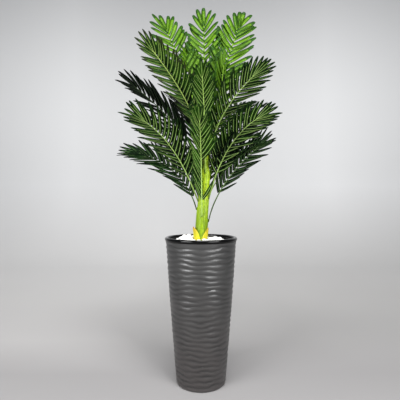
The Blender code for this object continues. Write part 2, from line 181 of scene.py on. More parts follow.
# Rib and stalk sections, as width and thickness
STALK_FOOT = (0.0085, 0.0055)
STALK_END = (0.0050, 0.0042)
RIB_END = (0.0028, 0.0022)
RIB_SECTIONS = 30
RIB_SIDES = 8

# Leaflets: pairs along the rib that close up towards its end, with one more on its tip.
# A tone's edges say how dark each of the six points of a leaflet's section is: painted shade that
# darkens its edges, and one half of its fold more than the other.
Tone = namedtuple(
    "Tone", "slot pitch crowding width foot point rib vein_share edges "
    "pale dark vein tip stalk roughness specular")
TONES = {
    "bright": Tone(
        "leaf_light", 0.0270, 1.1, 0.0212, 0.66, 7, 1.8, 0.070, (0.80, 0.35, 0.10, 0.90, 0.5, 0.5),
        (0.092, 0.200, 0.003), (0.010, 0.048, 0.001), (0.130, 0.25, 0.014), (0.016, 0.064, 0.001),
        (0.080, 0.18, 0.006), 0.45, 0.14),
    # Painted light: a lighter copy of the green for the front fronds, standing in for the light they
    # catch.
    "fresh": Tone(
        "leaf_dark", 0.0185, 1.0, 0.0140, 0.90, 5, 1.0, 0.13, (1.0, 0.35, 0.25, 0.60, 0.5, 0.5),
        (0.042, 0.128, 0.008), (0.0030, 0.0150, 0.0010), (0.27, 0.41, 0.100), (0.008, 0.032, 0.002),
        (0.20, 0.30, 0.040), 0.42, 0.10),
    "olive": Tone(
        "leaf_dark", 0.0182, 1.1, 0.0152, 0.90, 4, 1.0, 0.12, (1.0, 0.40, 0.25, 0.60, 0.5, 0.5),
        (0.036, 0.102, 0.009), (0.0024, 0.0105, 0.0010), (0.24, 0.34, 0.080), (0.020, 0.030, 0.008),
        (0.17, 0.21, 0.035), 0.42, 0.09),
    "green": Tone(
        "leaf_dark", 0.0185, 1.3, 0.0140, 0.90, 5, 1.0, 0.14, (1.0, 0.45, 0.30, 0.70, 0.5, 0.5),
        (0.017, 0.057, 0.003), (0.0012, 0.0070, 0.0006), (0.20, 0.30, 0.080), (0.004, 0.018, 0.001),
        (0.12, 0.18, 0.026), 0.42, 0.09),
    # Painted shade: a darker copy of the green for the side, rear and foot fronds that lie in shade.
    "deep": Tone(
        "leaf_dark", 0.0205, 1.2, 0.0140, 1.00, 3.5, 1.1, 0.10, (1.0, 0.30, 0.20, 0.75, 0.5, 0.5),
        (0.009, 0.034, 0.007), (0.0008, 0.004, 0.0010), (0.08, 0.13, 0.045), (0.0016, 0.006, 0.002),
        (0.022, 0.034, 0.010), 0.42, 0.06),
    # Painted shade: a near-black copy of the green for the fronds seen from their shaded side.
    "black": Tone(
        "leaf_dark", 0.0235, 1.0, 0.0160, 0.60, 4, 1.0, 0.085, (1.0, 0.15, 0.10, 0.75, 0.5, 0.5),
        (0.0018, 0.0060, 0.0020), (0.0004, 0.0012, 0.0005), (0.022, 0.036, 0.016),
        (0.0010, 0.0025, 0.0012), (0.03, 0.045, 0.012), 0.42, 0.04),
}
# The right bright frond has the same colours with closer leaflets
TONES["dense"] = TONES["bright"]._replace(pitch=0.0245, width=0.0232)
FAN_REACH = 0.036
FAN_START = 0.010
LEAFLET_BASE_SHARE = 0.72
LEAFLET_TIP_SHARE = 0.70
LEAFLET_LONGEST_AT = 0.35
LEAFLET_FOLD = (20, 8)
LEAFLET_FOLD_SHAKE = 4
LEAFLET_STAGGER = 0.12
LEAFLET_LENGTHS = (0.93, 1.06)
LEAFLET_SET_OUT = 0.3
LEAFLET_CLEARANCE = 0.003
LEAFLET_DROOP = (0.01, 0.14)
LEAFLET_SWEEP = 0.14
LEAFLET_ARCH = (0.0, 0.34)
LEAFLET_SAG = (-0.04, 0.13)
LEAFLET_SHAKE = 5.0
END_LEAFLET = 0.086
END_OVERLAP = 0.004
LEAFLET_STATIONS = (0.0, 0.09, 0.24, 0.42, 0.62, 0.80, 0.92, 0.98)
VEIN_HEIGHT = 0.0004
VEIN_DEPTH = 0.0008
# Painted shade at each leaflet's foot by the rib, fading out along it.
FOOT_SHADE = 0.5
FOOT_SHADE_FADE = 3.0
LEAFLET_SHADES = (-0.20, 0.35)
TIP_ROW = 5
FOLD_RISE = 0.42
LEAFLET_ROLL = 12
SPEAR_BARE = (0.05, 0.50)

SEED = 11


def mix(start, end, share):
    """The value that lies this share of the way from start to end."""
    return start + (end - start) * share


# Shader maths

class Value:
    """A socket that arithmetic can be written on."""

    def __init__(self, finish, socket):
        self.finish = finish
        self.socket = socket

    def _maths(self, operation, *inputs):
        node = self.finish.add("ShaderNodeMath", {"operation": operation}, dict(enumerate(inputs)))
        return Value(self.finish, node.outputs[0])

    def __add__(self, other):
        return self._maths("ADD", self, other)

    __radd__ = __add__

    def __sub__(self, other):
        return self._maths("SUBTRACT", self, other)

    def __rsub__(self, other):
        return self._maths("SUBTRACT", other, self)

    def __mul__(self, other):
        return self._maths("MULTIPLY", self, other)

    __rmul__ = __mul__

    def clamp(self, low, high):
        """The value rescaled so that low is 0 and high is 1, and kept between them."""
        node = self.finish.add(
            "ShaderNodeMapRange", {"clamp": True}, {0: self, 1: low, 2: high, 3: 0.0, 4: 1.0})
        return Value(self.finish, node.outputs[0])


class Finish:
    """One material, and the nodes that vary it over a surface."""

    def __init__(self, name, roughness=0.5, specular=0.5):
        self.material = bpy.data.materials.new(name)
        self.material.use_nodes = True
        self.tree = self.material.node_tree
        self.shader = self.tree.nodes["Principled BSDF"]
        self.shader.inputs["Roughness"].default_value = roughness
        self.shader.inputs["Specular IOR Level"].default_value = specular
        self.place = self.add("ShaderNodeTexCoord").outputs["Object"]

    def add(self, kind, settings=None, sockets=None):
        """A node of this type, with its settings made first and its sockets filled after."""
        node = self.tree.nodes.new(kind)
        for setting, value in (settings or {}).items():
            if setting == "stops":
                self.set_stops(node.color_ramp, value)
            else:
                setattr(node, setting, value)
        for socket, value in (sockets or {}).items():
            self.feed(node.inputs[socket], value)
        return node

    def set_stops(self, ramp, stops):
        while len(ramp.elements) < len(stops):
            ramp.elements.new(1.0)
        for element, (position, colour) in zip(ramp.elements, stops):
            element.position = position
            element.color = (*colour, 1.0)

    def feed(self, socket, value):
        if isinstance(value, Value):
            value = value.socket
        if isinstance(value, bpy.types.NodeSocket):
            self.tree.links.new(value, socket)
        else:
            socket.default_value = value

    def stretched(self, scale):
        """Object coordinates multiplied along each axis."""
        node = self.add("ShaderNodeMapping", {}, {"Vector": self.place, "Scale": scale})
        return node.outputs[0]

    def noise(self, scale, detail=2.0, place=None, roughness=0.5):
        node = self.add("ShaderNodeTexNoise", {}, {
            "Vector": place or self.place, "Scale": scale, "Detail": detail, "Roughness": roughness})
        return Value(self, node.outputs["Fac"])

    def speckle(self, scale, place=None):
        """Distance to the nearest of many scattered points."""
        node = self.add("ShaderNodeTexVoronoi", {}, {"Vector": place or self.place, "Scale": scale})
        return Value(self, node.outputs["Distance"])

    def blend(self, share, low, high):
        """A colour between two others."""
        node = self.add("ShaderNodeMix", {"data_type": "RGBA"}, {0: share, 6: low, 7: high})
        return node.outputs[2]

    def colour(self, value):
        self.feed(self.shader.inputs["Base Color"], value)

    def roughness(self, value):
        self.feed(self.shader.inputs["Roughness"], value)

    def bump(self, height, distance, strength=1.0):
        node = self.add("ShaderNodeBump", {}, {
            "Height": height, "Distance": distance, "Strength": strength})
        self.feed(self.shader.inputs["Normal"], node.outputs[0])


def rgb(red, green, blue):
    return (red, green, blue, 1.0)


def make_planter_finish():
    """Satin charcoal lacquer, with painted shade in its grooves, and warmer towards the bottom in
    broad patches as a painted reflection of the floor.
    """
    finish = Finish("planter_charcoal_satin", specular=0.8)
    height = Value(finish, finish.add(
        "ShaderNodeSeparateXYZ", {}, {0: finish.place}).outputs["Z"])
    groove = Value(finish, finish.add(
        "ShaderNodeAttribute", {"attribute_name": "groove"}).outputs["Fac"])
    patches = finish.noise(7.0, 3.0).clamp(0.35, 0.68)
    grain = finish.noise(900.0, 2.0)
    # Warmer towards the bottom, broken up by broad patches: a painted reflection of the floor.
    low = 1 - (height + 0.12 * patches).clamp(0.05, 0.50)
    crest = finish.blend(low, rgb(0.030, 0.030, 0.0295), rgb(0.035, 0.030, 0.029))
    # Painted shade: the grooves are coloured near black.
    finish.colour(finish.blend(groove, crest, rgb(0.003, 0.003, 0.003)))
    finish.roughness(0.29 + 0.05 * patches + 0.04 * grain + 0.15 * groove)
    finish.bump(grain, 0.00025, 0.5)
    return finish.material


def make_lip_finish():
    """Glossy black lacquer with faint rubbing."""
    finish = Finish("planter_lip_black_gloss", specular=0.22)
    rubbed = finish.noise(38.0, 4.0).clamp(0.45, 0.75)
    finish.colour(finish.blend(rubbed, rgb(0.0012, 0.0012, 0.0012), rgb(0.004, 0.0038, 0.0038)))
    finish.roughness(0.12 + 0.14 * rubbed)
    return finish.material


def make_foam_finish():
    """Grey filling foam with open pores."""
    finish = Finish("filling_foam_grey", 0.95)
    pores = finish.speckle(260.0).clamp(0.1, 0.5)
    finish.colour(finish.blend(pores, rgb(0.12, 0.12, 0.11), rgb(0.30, 0.29, 0.27)))
    finish.bump(pores, 0.001)
    return finish.material


def make_grit_finish():
    """Pale grit under the pebbles."""
    finish = Finish("grit_pale", 0.9)
    grains = finish.speckle(330.0).clamp(0.05, 0.55)
    finish.colour(finish.blend(grains, rgb(0.42, 0.41, 0.39), rgb(0.70, 0.69, 0.66)))
    finish.bump(grains, 0.0012)
    return finish.material


def make_pebble_finish():
    """White tumbled stone, faintly veined and clouded."""
    finish = Finish("pebble_white_stone", specular=0.5)
    clouds = finish.noise(45.0, 4.0).clamp(0.35, 0.70)
    pits = finish.noise(700.0, 3.0)
    finish.colour(finish.blend(clouds, rgb(0.90, 0.89, 0.86), rgb(0.78, 0.77, 0.74)))
    finish.roughness(0.42 + 0.2 * clouds)
    finish.bump(pits, 0.0004, 0.6)
    return finish.material


def make_sheath_finish():
    """Pale yellow-green sheath, streaked upright and mottled olive, darker in its seams, and painted
    lighter towards its top against the fronds' shade.
    """
    finish = Finish("sheath_green", specular=0.22)
    streaks = finish.noise(260.0, 3.0, finish.stretched((1.0, 1.0, 0.06))).clamp(0.35, 0.70)
    mottle = finish.noise(140.0, 4.0, finish.stretched((1.0, 1.0, 0.55)), 0.60).clamp(0.42, 0.60)
    seam = Value(finish, finish.add(
        "ShaderNodeAttribute", {"attribute_name": "seam"}).outputs["Fac"])
    height = Value(finish, finish.add(
        "ShaderNodeSeparateXYZ", {}, {0: finish.place}).outputs["Z"])
    # Paler towards the top: painted light that makes up for the shade the fronds cast on the upper
    # column and spear.
    painted_top_light = (height + 0.05 * mottle).clamp(0.68, 0.81)
    pale = finish.blend(painted_top_light, rgb(0.213, 0.322, 0.005), rgb(0.455, 0.620, 0.016))
    full = finish.blend(painted_top_light, rgb(0.105, 0.195, 0.002), rgb(0.230, 0.365, 0.006))
    fresh = finish.blend(streaks, pale, full)
    aged = finish.blend(0.65 * mottle, fresh, rgb(0.060, 0.115, 0.003))
    finish.colour(finish.blend(0.7 * seam, aged, rgb(0.045, 0.080, 0.004)))
    finish.roughness(0.36 + 0.2 * mottle)
    finish.bump(streaks, 0.0006, 0.6)
    return finish.material


def make_husk_finish():
    """Yellow husk that turns orange-brown towards its tip."""
    finish = Finish("husk_yellow", specular=0.45)
    height = Value(finish, finish.add(
        "ShaderNodeSeparateXYZ", {}, {0: finish.place}).outputs["Z"])
    fibres = finish.noise(300.0, 3.0, finish.stretched((1.0, 1.0, 0.08)))
    uneven = height + 0.012 * fibres
    ripe = finish.add("ShaderNodeValToRGB", {"stops": (
        (0.00, (0.40, 0.31, 0.004)),
        (0.50, (0.43, 0.40, 0.004)),
        (0.80, (0.45, 0.33, 0.008)),
        (1.00, (0.30, 0.13, 0.020)),
    )}, {0: uneven.clamp(0.585, 0.660)})
    finish.colour(ripe.outputs[0])
    finish.roughness(0.40 + 0.15 * fibres)
    finish.bump(fibres, 0.0006, 0.7)
    return finish.material


def make_leaf_finish(name, pale, dark, roughness, specular):
    """Moulded leaf colour, clouded and finely streaked, darker towards a leaflet's edges, on one
    half of its fold and at its foot: painted shade, mixed with a random tone per leaflet.
    """
    finish = Finish(name, specular=specular)
    edge = Value(finish, finish.add(
        "ShaderNodeAttribute", {"attribute_name": "edge"}).outputs["Fac"])
    clouds = finish.noise(22.0, 3.0).clamp(0.32, 0.70)
    streaks = finish.noise(900.0, 2.0, finish.stretched((1.0, 1.0, 0.25)))
    # The edge mark is painted shade along leaflet edges, fold and foot, mixed with each leaflet's
    # random tone.
    shade = (0.35 * clouds + 0.75 * edge).clamp(0.0, 1.0)
    finish.colour(finish.blend(shade, rgb(*pale), rgb(*dark)))
    finish.roughness(roughness + 0.12 * clouds + 0.06 * streaks)
    finish.bump(streaks, 0.0003, 0.5)
    return finish.material


# Modelling helpers

def deselect_all():
    if bpy.context.mode != "OBJECT":
        bpy.ops.object.mode_set(mode="OBJECT")
    bpy.ops.object.select_all(action="DESELECT")


def name_piece(name):
    """The primitive that was just added, under its own name."""
    piece = bpy.context.active_object
    piece.name = name
    piece.data.name = name
    return piece


def edit(piece, mode, chosen):
    """Enter edit mode with only the chosen vertices, edges or faces selected."""
    bpy.ops.object.mode_set(mode="EDIT")
    bpy.ops.mesh.select_mode(type=mode)
    bpy.ops.mesh.select_all(action="DESELECT")
    shape = bmesh.from_edit_mesh(piece.data)
    items = {"VERT": shape.verts, "EDGE": shape.edges, "FACE": shape.faces}[mode]
    for item in items:
        item.select_set(chosen(item))
    shape.select_flush_mode()
    bmesh.update_edit_mesh(piece.data)


def leave_edit():
    bpy.ops.object.mode_set(mode="OBJECT")


def place_in_mesh(piece):
    """Move the object's place into its mesh, so that the object sits at the origin."""
    deselect_all()
    piece.select_set(True)
    bpy.context.view_layer.objects.active = piece
    bpy.ops.object.transform_apply(location=True, rotation=True, scale=True)


def smooth(piece, angle=None):
    deselect_all()
    piece.select_set(True)
    bpy.context.view_layer.objects.active = piece
    if angle is None:
        bpy.ops.object.shade_smooth()
    else:
        bpy.ops.object.shade_smooth_by_angle(angle=math.radians(angle))


def settle(piece, slot, *nodes):
    """Hand the finished piece to the frame."""
    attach(piece, "root")
    if nodes:
        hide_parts(*nodes)


def joined_piece(name, points, faces, materials, face_materials=None):
    """One mesh from many small shapes."""
    mesh = bpy.data.meshes.new(name)
    mesh.from_pydata(points, [], faces)
    for material in materials:
        mesh.materials.append(material)
    if face_materials:
        mesh.polygons.foreach_set("material_index", face_materials)
    mesh.shade_smooth()
    piece = bpy.data.objects.new(name, mesh)
    bpy.context.collection.objects.link(piece)
    return piece


def mark_points(piece, name, values):
    """Store one number for each point of the mesh, for its finish to read."""
    attribute = piece.data.attributes.new(name, "FLOAT", "POINT")
    attribute.data.foreach_set("value", values)


# Planter

def wall_radius(height):
    share = height / POT_HEIGHT
    return mix(FOOT_RADIUS, NECK_RADIUS, share) + WALL_BOW * math.sin(math.pi * share)


def ripple_sink(turn, height):
    """How far the wall lies in behind its crests: broad crests over narrow wavering grooves."""
    sway = sum(rise * math.sin(waves * turn + climb * height + start)
               for rise, waves, climb, start in RIPPLE_SWAY)
    phase = (height + sway) / RIPPLE_PITCH
    crest = abs(math.sin(math.pi * phase)) ** RIPPLE_SHARPNESS
    strength = 1 - RIPPLE_UNEVENNESS * (1 - math.sin(5 * turn + 33 * height))
    neck = POT_HEIGHT - LIP_THICKNESS
    calm = min(1.0, max(0.0, (height - FOOT_ROUNDING) / RIPPLE_CALM))
    calm *= min(1.0, max(0.0, (neck - height) / RIPPLE_CALM))
    return RIPPLE_DEPTH * strength * calm * (1 - crest)


def add_planter_wall(lip_finish):
    """The rippled wall, rounded at its foot and lined in black, whose black paints the shade inside
    the pot.
    """
    neck = POT_HEIGHT - LIP_THICKNESS
    deselect_all()
    bpy.ops.mesh.primitive_cylinder_add(
        vertices=WALL_SIDES, radius=NECK_RADIUS, depth=neck - FOOT_ROUNDING,
        end_fill_type="NOTHING", location=(0, 0, (neck + FOOT_ROUNDING) / 2))
    wall = name_piece("planter_wall")
    place_in_mesh(wall)
    edit(wall, "EDGE", lambda edge: abs(edge.verts[0].co.z - edge.verts[1].co.z) > 0.1)
    bpy.ops.mesh.subdivide(number_cuts=WALL_ROWS - 1)
    leave_edit()
    grooves = []
    for vertex in wall.data.vertices:
        turn = math.atan2(vertex.co.y, vertex.co.x)
        sink = ripple_sink(turn, vertex.co.z)
        radius = wall_radius(vertex.co.z) - sink
        vertex.co.x = radius * math.cos(turn)
        vertex.co.y = radius * math.sin(turn)
        # How deep each point lies in a groove, kept for the finish to paint as shade.
        grooves.append((sink / RIPPLE_DEPTH) ** 1.4)
    mark_points(wall, "groove", grooves)
    round_foot(wall)
    line_inside(wall, neck)
    smooth(wall, 60)
    wall.data.materials.clear()
    wall.data.materials.append(make_planter_finish())
    wall.data.materials.append(lip_finish)
    # Painted shade: the inside takes the lip's black gloss to stand in for the shadow within the
    # pot.
    for face in wall.data.polygons:
        inside = wall_radius(face.center.z) - WALL_THICKNESS / 2
        if face.center.z > FLOOR_THICKNESS and face.center.xy.length < inside:
            face.material_index = 1
    settle(wall, "planter", "pot")


def shrink_ring(radius_from, radius_to, drop):
    """Extrude the selected ring, draw it in or out to a radius, and lower it."""
    bpy.ops.mesh.extrude_region_move(TRANSFORM_OT_translate={"value": (0, 0, -drop)})
    share = radius_to / radius_from
    bpy.ops.transform.resize(value=(share, share, 1), center_override=(0, 0, 0))


def round_foot(wall):
    """Round the bottom edge in four steps and close the underside."""
    edit(wall, "EDGE", lambda edge: all(v.co.z < FOOT_ROUNDING + 1e-5 for v in edge.verts))
    radius = wall_radius(FOOT_ROUNDING)
    height = FOOT_ROUNDING
    for step in range(1, 6):
        turn = math.radians(90 * step / 5)
        new_radius = wall_radius(FOOT_ROUNDING) - FOOT_ROUNDING * (1 - math.cos(turn))
        new_height = FOOT_ROUNDING * (1 - math.sin(turn))
        shrink_ring(radius, new_radius, height - new_height)
        radius, height = new_radius, new_height
    bpy.ops.mesh.edge_face_add()
    leave_edit()


def line_inside(wall, neck):
    """Turn the top edge in over the wall's thickness and run it down to the inner floor."""
    edit(wall, "EDGE", lambda edge: all(v.co.z > neck - 1e-5 for v in edge.verts))
    inner = wall_radius(neck) - WALL_THICKNESS
    shrink_ring(wall_radius(neck), inner, 0.0)
    floor_radius = wall_radius(FLOOR_THICKNESS) - WALL_THICKNESS
    for step in range(1, 9):
        before = mix(inner, floor_radius, (step - 1) / 8)
        after = mix(inner, floor_radius, step / 8)
        shrink_ring(before, after, (neck - FLOOR_THICKNESS) / 8)
    bpy.ops.mesh.edge_face_add()
    leave_edit()


def add_planter_lip(lip_finish):
    """The rolled lip: a bead with a short skirt inside the wall."""
    bead = LIP_THICKNESS / 2
    deselect_all()
    bpy.ops.mesh.primitive_torus_add(
        major_radius=LIP_RADIUS - bead, minor_radius=bead, major_segments=WALL_SIDES,
        minor_segments=20, location=(0, 0, POT_HEIGHT - bead))
    lip = name_piece("planter_lip")
    place_in_mesh(lip)
    middle = POT_HEIGHT - bead
    edit(lip, "VERT", lambda v: v.co.z < middle - 0.0005 and v.co.xy.length < LIP_RADIUS - bead)
    bpy.ops.transform.translate(value=(0, 0, -LIP_SKIRT))
    leave_edit()
    smooth(lip)
    lip.data.materials.append(lip_finish)
    settle(lip, "planter")


# Pebbles

def heap_height(place):
    """Height of the heap's surface: low at the wall, nearly level towards the trunk."""
    share = 1 - min(1.0, place.xy.length / (NECK_RADIUS - WALL_THICKNESS))
    level = mix(BED_EDGE_HEIGHT, BED_CROWN_HEIGHT, math.sin(math.pi / 2 * share))
    for x, y, spread, height in PILES:
        away = math.hypot(place.x - x, place.y - y) / spread
        level += height * math.exp(-away ** 2)
    return level


def add_grit_bed():
    """The grit that the pebbles lie on."""
    deselect_all()
    outer = wall_radius(BED_EDGE_HEIGHT) - WALL_THICKNESS - 2 * GRIT_GAP
    middle = FILLING_TOP + GRIT_GAP + GRIT_DEPTH / 2
    bpy.ops.mesh.primitive_cylinder_add(
        vertices=72, radius=outer, depth=GRIT_DEPTH, end_fill_type="TRIFAN",
        location=(0, 0, middle))
    grit = name_piece("grit_bed")
    place_in_mesh(grit)
    edit(grit, "FACE", lambda face: face.normal.z > 0.9)
    for step in range(GRIT_RINGS):
        bpy.ops.mesh.inset(thickness=outer / (GRIT_RINGS + 1.2), depth=0.0)
    leave_edit()
    rng = random.Random(SEED)
    for vertex in grit.data.vertices:
        if vertex.co.z > middle:
            roughness = rng.uniform(-GRIT_ROUGHNESS, GRIT_ROUGHNESS)
            vertex.co.z = heap_height(vertex.co) - GRIT_BELOW + roughness
    smooth(grit, 60)
    grit.data.materials.append(make_grit_finish())
    settle(grit, "pebbles")


def pebble_template():
    """Points and faces of one round stone."""
    deselect_all()
    bpy.ops.mesh.primitive_ico_sphere_add(subdivisions=2, radius=1.0)
    stone = bpy.context.active_object
    points = [vertex.co.copy() for vertex in stone.data.vertices]
    faces = [tuple(face.vertices) for face in stone.data.polygons]
    bpy.data.objects.remove(stone)
    return points, faces


def add_pebbles():
    """Stones set out on a sunflower spiral, each with its own shape and tilt."""
    rng = random.Random(SEED + 1)
    template, template_faces = pebble_template()
    points, faces = [], []
    reach = wall_radius(BED_EDGE_HEIGHT) - WALL_THICKNESS
    golden = math.pi * (3 - math.sqrt(5))
    axis = trunk_axis(BED_CROWN_HEIGHT)
    for i in range(PEBBLE_COUNT):
        size = rng.uniform(*PEBBLE_RADIUS)
        radius = (reach - size * 0.95) * math.sqrt((i + 0.5) / PEBBLE_COUNT)
        turn = golden * i + rng.uniform(-0.15, 0.15)
        centre = Vector((radius * math.cos(turn), radius * math.sin(turn), 0))
        keep_off = trunk_radius(BED_CROWN_HEIGHT) + TRUNK_CLEARANCE + size * 0.8
        if (centre.xy - axis.xy).length < keep_off:
            continue
        flatness = rng.uniform(*PEBBLE_FLATNESS)
        sink = size * flatness * PEBBLE_SINK
        centre.z = heap_height(centre) - sink + rng.uniform(*PEBBLE_SETTLE)
        length = size * rng.uniform(*PEBBLE_LENGTH)
        breadth = size * rng.uniform(*PEBBLE_BREADTH)
        spread = Matrix.Diagonal((length, breadth, size * flatness))
        tilt = Matrix.Rotation(rng.uniform(-PEBBLE_TILT, PEBBLE_TILT), 3, "X")
        tilt = tilt @ Matrix.Rotation(rng.uniform(-PEBBLE_TILT, PEBBLE_TILT), 3, "Y")
        shape = tilt @ Matrix.Rotation(rng.uniform(0, math.tau), 3, "Z") @ spread
        starts = [rng.uniform(0, math.tau) for _ in PEBBLE_LUMPS]
        first = len(points)
        for point in template:
            lump = 1 + sum(height * math.sin(waves * place + start) for (height, waves), place, start
                           in zip(PEBBLE_LUMPS, point, starts))
            placed = centre + shape @ (point * lump)
            placed.z = min(placed.z, BED_TOP + PEBBLE_CEILING)
            points.append(placed)
        faces.extend(tuple(first + k for k in face) for face in template_faces)
    pebbles = joined_piece("pebbles", points, faces, [make_pebble_finish()])
    settle(pebbles, "pebbles", "pebble_bed")


# Trunk, sheaths and bracts

def trunk_axis(height):
    rise = height - FILLING_TOP
    return Vector((TRUNK_FOOT_X + rise * math.tan(math.radians(TRUNK_LEAN)), 0.0, height))


def trunk_radius(height):
    for (low, low_radius), (high, high_radius) in zip(TRUNK_PROFILE, TRUNK_PROFILE[1:]):
        if height <= high:
            return mix(low_radius, high_radius, max(0.0, (height - low) / (high - low)))
    return TRUNK_PROFILE[-1][1]


def seam_share(turn, height):
    """How near this place is to a seam between two sheaths: 1 in the seam, 0 away from it."""
    nearest = 0.0
    for azimuth, twist in SEAMS:
        middle = math.radians(azimuth) + math.tau * twist * (height - FILLING_TOP)
        away = (turn - middle + math.pi) % math.tau - math.pi
        nearest = max(nearest, math.exp(-(away / SEAM_HALF_WIDTH) ** 2))
    return nearest


def sheath_swell(turn, height):
    """The sheath stands proud on one side of each seam and slopes down to the next."""
    swell = 0.0
    for azimuth, twist in SEAMS:
        middle = math.radians(azimuth) + math.tau * twist * (height - FILLING_TOP)
        away = (turn - middle + math.pi) % math.tau - math.pi
        if away > 0:
            swell = max(swell, math.exp(-away / SHEATH_SLOPE))
    flutes = SHEATH_FLUTES * math.sin(17 * turn + 9 * height)
    return SHEATH_STEP * swell + flutes - SEAM_DEPTH * seam_share(turn, height)


def add_trunk():
    low, high = TRUNK_PROFILE[0][0], TRUNK_PROFILE[-1][0]
    deselect_all()
    bpy.ops.mesh.primitive_cylinder_add(
        vertices=TRUNK_SIDES, radius=TRUNK_PROFILE[0][1], depth=high - low,
        end_fill_type="NGON", location=(0, 0, (high + low) / 2))
    trunk = name_piece("sheath_column")
    place_in_mesh(trunk)
    edit(trunk, "EDGE", lambda edge: abs(edge.verts[0].co.z - edge.verts[1].co.z) > 0.1)
    bpy.ops.mesh.subdivide(number_cuts=TRUNK_ROWS - 1)
    leave_edit()
    seams = []
    for vertex in trunk.data.vertices:
        height = vertex.co.z
        turn = math.atan2(vertex.co.y, vertex.co.x)
        slender = min(1.0, trunk_radius(height) / TRUNK_PROFILE[0][1])
        radius = trunk_radius(height) + slender * sheath_swell(turn, height)
        vertex.co = trunk_axis(height) + Vector((math.cos(turn), math.sin(turn), 0)) * radius
        seams.append(seam_share(turn, height))
    mark_points(trunk, "seam", seams)
    smooth(trunk, 60)
    trunk.data.materials.append(make_sheath_finish())
    settle(trunk, "sheath", "trunk")
    return trunk.data.materials[0]


def add_leaf_boots(sheath_finish):
    """Below each stalk its base wraps the trunk: wide low down, and drawn in to the stalk."""
    rows, columns = 12, 8
    points, faces, seams = [], [], []
    for frond in FRONDS:
        middle = math.radians(frond.azimuth)
        first = len(points)
        for row in range(rows + 1):
            share = row / rows
            lowest = max(FILLING_TOP + BOOT_CLEARANCE, frond.root - BOOT_DROP)
            height = mix(lowest, frond.root + BOOT_RISE, share)
            radius = trunk_radius(height)
            stalk_half = STALK_FOOT[0] / 2 / max(radius, BOOT_LEAST_RADIUS)
            half = mix(math.radians(BOOT_HALF_ANGLE), stalk_half, share ** 0.8)
            proud = mix(-BOOT_SUNK, STALK_FOOT[1] * 0.55, share ** 1.4)
            axis = trunk_axis(height)
            for column in range(columns + 1):
                across = 2 * column / columns - 1
                turn = middle + half * across
                edge = 1 - across ** 4
                out = radius + (proud + BOOT_SWELL * math.sin(math.pi * share ** 0.5)) * edge
                points.append(axis + Vector((math.cos(turn), math.sin(turn), 0)) * out)
                seams.append(0.55 * across ** 8 * min(1.0, share * 3))
        width = columns + 1
        for row in range(rows):
            for column in range(columns):
                corner = first + row * width + column
                faces.append((corner, corner + 1, corner + 1 + width, corner + width))
    boots = joined_piece("leaf_boots", points, faces, [sheath_finish])
    mark_points(boots, "seam", seams)
    settle(boots, "sheath")


def add_bract(bract, finish):
    """A husk that hugs the trunk at its foot, narrows to a point and flares away at its tip."""
    columns, rows = 14, 18
    deselect_all()
    bpy.ops.mesh.primitive_grid_add(x_subdivisions=columns, y_subdivisions=rows, size=2)
    piece = name_piece("husk_" + bract.name.split("_")[1])
    for vertex in piece.data.vertices:
        across = vertex.co.x
        share = (vertex.co.y + 1) / 2
        height = mix(FILLING_TOP + BRACT_INSET, bract.tip_height - BRACT_INSET, share)
        half = math.radians(mix(bract.half_angle, BRACT_TIP_ANGLE, share ** BRACT_TAPER))
        radius = trunk_radius(height) + BRACT_CLEARANCE + bract.flare * share ** BRACT_FLARE_POWER
        radius += BRACT_CUP * (1 - across ** 2) * math.sin(math.pi * share)
        radius += BRACT_CREASES * math.sin(9 * across + 4 * share)
        turn = math.radians(bract.azimuth) + half * across
        vertex.co = trunk_axis(height) + Vector((math.cos(turn), math.sin(turn), 0)) * radius
    thicken = piece.modifiers.new("thickness", "SOLIDIFY")
    thicken.thickness = BRACT_THICKNESS
    thicken.offset = -1
    soften = piece.modifiers.new("softened", "SUBSURF")
    soften.levels = soften.render_levels = 1
    for modifier in ("thickness", "softened"):
        bpy.ops.object.modifier_apply(modifier=modifier)
    bpy.ops.object.mode_set(mode="EDIT")
    bpy.ops.mesh.select_all(action="SELECT")
    bpy.ops.mesh.normals_make_consistent(inside=False)
    leave_edit()
    smooth(piece)
    piece.data.materials.append(finish)
    settle(piece, "husk", bract.name)


# Fronds

def rib_ahead(frond, share):
    """The way a rib runs at this share of its frond's length."""
    azimuth = math.radians(frond.azimuth)
    bent = share + frond.bow * share * (1 - share)
    lean = math.radians(mix(frond.lean_root, frond.lean_tip, bent))
    reach = math.sin(lean)
    return Vector((reach * math.cos(azimuth), reach * math.sin(azimuth), math.cos(lean)))


def rib_places(frond):
    """Points at even steps along a rib, from its foot beside the trunk to its tip."""
    azimuth = math.radians(frond.azimuth)
    outward = Vector((math.cos(azimuth), math.sin(azimuth), 0.0))
    clear = ROOT_GAP + STALK_FOOT[1] / 2 * rib_ahead(frond, 0.0).z
    places = [trunk_axis(frond.root) + outward * (trunk_radius(frond.root) + clear)]
    for step in range(RIB_STEPS):
        ahead = rib_ahead(frond, (step + 0.5) / RIB_STEPS)
        places.append(places[-1] + ahead * (frond.length / RIB_STEPS))
    return places


RIB_PLACES = {frond.name: rib_places(frond) for frond in FRONDS}


def rib_frame(frond, along):
    """Place, forward, side and upper directions at this distance along the rib."""
    share = along / frond.length
    step = min(int(share * RIB_STEPS), RIB_STEPS - 1)
    places = RIB_PLACES[frond.name]
    place = places[step].lerp(places[step + 1], share * RIB_STEPS - step)
    forward = rib_ahead(frond, share)
    azimuth = math.radians(frond.azimuth)
    level_side = Vector((-math.sin(azimuth), math.cos(azimuth), 0.0))
    roll = math.radians(frond.roll) * min(1.0, share / frond.stalk)
    side = level_side * math.cos(roll) + forward.cross(level_side) * math.sin(roll)
    upper = forward.cross(side)
    return place, forward, side, upper


def rib_size(frond, along):
    """Width and thickness of the rib at this distance along it."""
    stalk = frond.stalk * frond.length
    if along < stalk:
        share = along / stalk
        rib = TONES[frond.tone].rib
        return [mix(a, b * rib, share) for a, b in zip(STALK_FOOT, STALK_END)]
    share = min(1.0, (along - stalk) / (frond.length - END_LEAFLET - stalk))
    return [mix(a, b, share) * TONES[frond.tone].rib for a, b in zip(STALK_END, RIB_END)]


